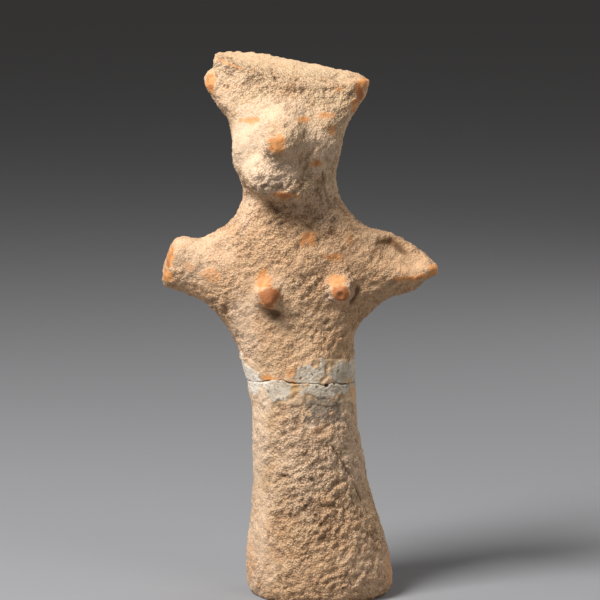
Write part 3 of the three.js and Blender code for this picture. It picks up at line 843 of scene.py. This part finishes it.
radius = blurred(widest(radius, GAP_CLOSING_PASSES), WAIST_SMOOTHING_PASSES)
near_ring = blurred(widest(on_ring, MARGIN_WIDENING_PASSES), MARGIN_SOFTENING_PASSES).ravel()
waist_points = np.array([waist_middle.x, waist_middle.y, 0]) + outward[None] * radius[..., None]
waist_points[..., 2] = heights
waist_points = waist_points.reshape(-1, 3)

degrees = np.broadcast_to(turns_in_degrees, grid_shape).ravel()
level = heights.ravel()
from_crack = np.broadcast_to(row_heights[:, None], grid_shape).ravel()
skin_relief, skin_masks = clay_surface(waist_points)
torn = noise_layers(waist_points, PLASTER_TEARS, first_seed=71)


def waist_patch(middle, height, half_width, half_height):
    """1 at the middle of a place on the waist, 0 on its edge and less outside."""
    aside = (degrees - middle + 180) % 360 - 180
    return 1 - np.hypot(aside / half_width, (level - height) / half_height)


plaster_cover = np.zeros(len(level))
for middle, height, half_width, half_height, side in PLASTER_PATCHES:
    inside = waist_patch(middle, height, half_width, half_height) + torn
    cover = smoothstep(0, PATCH_EDGE, inside)
    if side:
        cover *= smoothstep(PATCH_STOPS, PATCH_WHOLE, side * from_crack)
    plaster_cover = np.maximum(plaster_cover, cover)

skin_relief *= 1 - plaster_cover
for seed, (spacing, height) in enumerate(PLASTER_BUMPS, start=81):
    skin_relief += plaster_cover * height * noise_at(waist_points, spacing, seed)
pores = smoothstep(PORE_START, PORE_FULL, noise_at(waist_points, PORE_SPACING, seed=85))
pores *= plaster_cover
change_spacing, change = OPENING_CHANGES
changes = change * noise_at(waist_points * OPENING_STRETCH, change_spacing, seed=91)
open_crack = np.clip(USUAL_OPENING + changes, LEAST_OPENING, 1)
crack = np.exp(-(from_crack / CRACK_HALF_WIDTH) ** 2) * open_crack
pit = np.clip(waist_patch(*CRACK_PIT) + PIT_TEARING * torn, 0, 1)
skin_relief += PLASTER_LIFT * plaster_cover + SKIN_LIFT
skin_relief -= CRACK_DEPTH * np.maximum(crack, pit) + PORE_DEPTH * pores
reach = smoothstep(OUT_START, OUT_FULL, np.maximum(near_ring, plaster_cover))
skin_relief = skin_relief * reach - DIVE * (1 - reach)

crumbled = smoothstep(CRUMBLED_START, CRUMBLED_FULL, pit)
skin_masks["plaster"] = plaster_cover
# Painted shade in the crack, its crumbled pit and the pores.
skin_masks["crack"] = np.maximum.reduce([crack, crumbled, PORE_DARKNESS * pores])
skin_masks["stain"] = smoothstep(0, STAIN_FULL, waist_patch(*STAIN) + torn)
outer = waist_points + np.tile(outward, (grid_shape[0], 1)) * skin_relief[:, None]
outer = outer.reshape(*grid_shape, 3)
inner_share = np.linspace(1, 0, INNER_ROWS)[:, None, None]
inner_edges = [outer[end] - outward * INNER_DEPTH for end in (-1, 0)]
inner = inner_edges[0] * inner_share + inner_edges[1] * (1 - inner_share)
ring_points = np.concatenate([outer, inner])
ring_rows = len(ring_points)
ring_faces = []
for row, column in itertools.product(range(ring_rows), range(WAIST_COLUMNS)):
    next_row = (row + 1) % ring_rows * WAIST_COLUMNS
    next_column = (column + 1) % WAIST_COLUMNS
    this_row = row * WAIST_COLUMNS
    ring_faces.append((this_row + column, this_row + next_column,
                       next_row + next_column, next_row + column))

# Casting plaster, mixed thick and rubbed on: dull and chalky, greyer than the clay, with the
# small pores of trapped air, which are painted dark as shade.
PLASTER_WHITE = "#c3b5a2"
PLASTER_LAYERS = [
    (4.0, 0.42, 0.62, 0.6, "#d9cbb6"),
    (1.6, 0.50, 0.68, 0.6, "#aa9a82"),
    (0.5, 0.46, 0.34, 0.6, "#877a66"),
    (0.9, 0.54, 0.70, 0.5, "#b99a74"),
    # Whiter plaster where the pale places are: dust, and painted light on the lit left side.
    ("pale", 0.0, 1.0, 0.8, "#ebdfd0"),
]
JOINT_LAYERS = [
    ("stain", 0.1, 1.0, 0.7, "#b98f50"),
    # Near-black painted shade in the crack, its crumbled pit and the pores. The ochre stain is a
    # real stain.
    ("crack", 0.1, 0.8, 0.92, "#33261b"),
]
# The plaster mask at which the colour starts to turn from clay to plaster and has turned.
TURN_START = 0.2
TURN_FULL = 0.8
# The chalky grain in millimetres, drawn coarser than its real 0.1 mm or less so that it shows.
CHALK_SPACING = 0.45
CHALK_HEIGHT = 0.22
PLASTER_ROUGHNESS = 0.95
PLASTER_IOR = 1.5

plaster = bpy.data.materials.new("hand_smeared_plaster")
plaster.use_nodes = True
plaster.node_tree.nodes.clear()
plaster_place = (add_node(plaster, "ShaderNodeTexCoord"), "Object")
bare_clay = lay_colours(plaster, plaster_place, srgb(BUFF_CLAY), CLAY_LAYERS)
white = lay_colours(plaster, plaster_place, srgb(PLASTER_WHITE), PLASTER_LAYERS)
plaster_mask = add_node(plaster, "ShaderNodeAttribute", {"attribute_name": "plaster"})
torn_edge = add_node(plaster, "ShaderNodeMapRange", {},
                     {"Value": (plaster_mask, "Fac"), "From Min": TURN_START,
                      "From Max": TURN_FULL})
covered = add_node(plaster, "ShaderNodeMix", {"data_type": "RGBA"},
                   {MIX_SHARE: (torn_edge, "Result"), MIX_BELOW: bare_clay, MIX_ABOVE: white})
plaster_colour = lay_colours(plaster, plaster_place, (covered, MIX_RESULT), JOINT_LAYERS)
chalk = add_node(plaster, "ShaderNodeTexNoise", {},
                 {"Vector": plaster_place, "Scale": per_metre(CHALK_SPACING),
                  "Detail": CLOUD_DETAIL})
chalk_bump = add_node(plaster, "ShaderNodeBump", {},
                      {"Strength": 1.0, "Distance": CHALK_HEIGHT * MM, "Height": (chalk, 0)})
plaster_shader = add_node(plaster, "ShaderNodeBsdfPrincipled", {},
                          {"Base Color": plaster_colour, "Roughness": PLASTER_ROUGHNESS,
                           "IOR": PLASTER_IOR, "Normal": (chalk_bump, "Normal")})
add_node(plaster, "ShaderNodeOutputMaterial", {}, {"Surface": (plaster_shader, "BSDF")})

ring_mesh = bpy.data.meshes.new("plaster_fill_surface")
ring_mesh.from_pydata((ring_points.reshape(-1, 3) * MM).tolist(), [], ring_faces)
ring_mesh.update()
hidden = np.zeros(INNER_ROWS * WAIST_COLUMNS)
add_masks(ring_mesh, {name: np.concatenate([values, hidden])
                      for name, values in skin_masks.items()})
ring_mesh.materials.append(plaster)
ring_mesh.polygons.foreach_set("use_smooth", [True] * len(ring_mesh.polygons))
ring = bpy.data.objects.new("plaster_fill_surface", ring_mesh)
bpy.context.collection.objects.link(ring)
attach(ring, "root")
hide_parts("plaster_fill")


# The floor and the light. A plain pale table, a soft light high on the left that rakes across
# the front, a weak one on the right that keeps the shaded side readable, and one behind on the
# right that gives that side a thin bright edge.

# The floor's size is in metres, large enough for its edge to be out of sight. The lights are
# turned to the chest.
FLOOR_SIZE = 12.0
FLOOR_COLOUR = "#8a8a8c"
FLOOR_ROUGHNESS = 0.9
LIT_PLACE = Vector((0, 0, 80)) * MM
STUDIO_COLOUR = "#dedad6"
STUDIO_STRENGTH = 0.14

floor_mesh = bpy.data.meshes.new("floor")
corner = FLOOR_SIZE / 2
floor_mesh.from_pydata([(-corner, -corner, 0), (corner, -corner, 0),
                        (corner, corner, 0), (-corner, corner, 0)], [], [(0, 1, 2, 3)])
floor = bpy.data.objects.new("floor", floor_mesh)
bpy.context.collection.objects.link(floor)
paper = bpy.data.materials.new("matte_paper")
paper.use_nodes = True
paper.node_tree.nodes.clear()
paper_shader = add_node(paper, "ShaderNodeBsdfPrincipled", {},
                        {"Base Color": srgb(FLOOR_COLOUR), "Roughness": FLOOR_ROUGHNESS})
add_node(paper, "ShaderNodeOutputMaterial", {}, {"Surface": (paper_shader, "BSDF")})
floor_mesh.materials.append(paper)


def soft_light(name, place, size, power):
    """A square soft light, placed and sized in millimetres, turned to the figurine's chest."""
    data = bpy.data.lights.new(name, "AREA")
    data.size = size * MM
    data.energy = power
    light = bpy.data.objects.new(name, data)
    light.location = Vector(place) * MM
    light.rotation_euler = (light.location - LIT_PLACE).to_track_quat("Z", "Y").to_euler()
    bpy.context.collection.objects.link(light)


soft_light("key_light", (-300, -243, 540), 220, 6.8)
soft_light("fill_light", (300, -300, 400), 220, 0.42)
soft_light("rim_light", (420, 330, 220), 300, 1.0)

world = bpy.data.worlds.new("studio")
bpy.context.scene.world = world
world.use_nodes = True
world.node_tree.nodes["Background"].inputs["Color"].default_value = srgb(STUDIO_COLOUR)
world.node_tree.nodes["Background"].inputs["Strength"].default_value = STUDIO_STRENGTH
bpy.context.scene.view_settings.view_transform = "Standard"
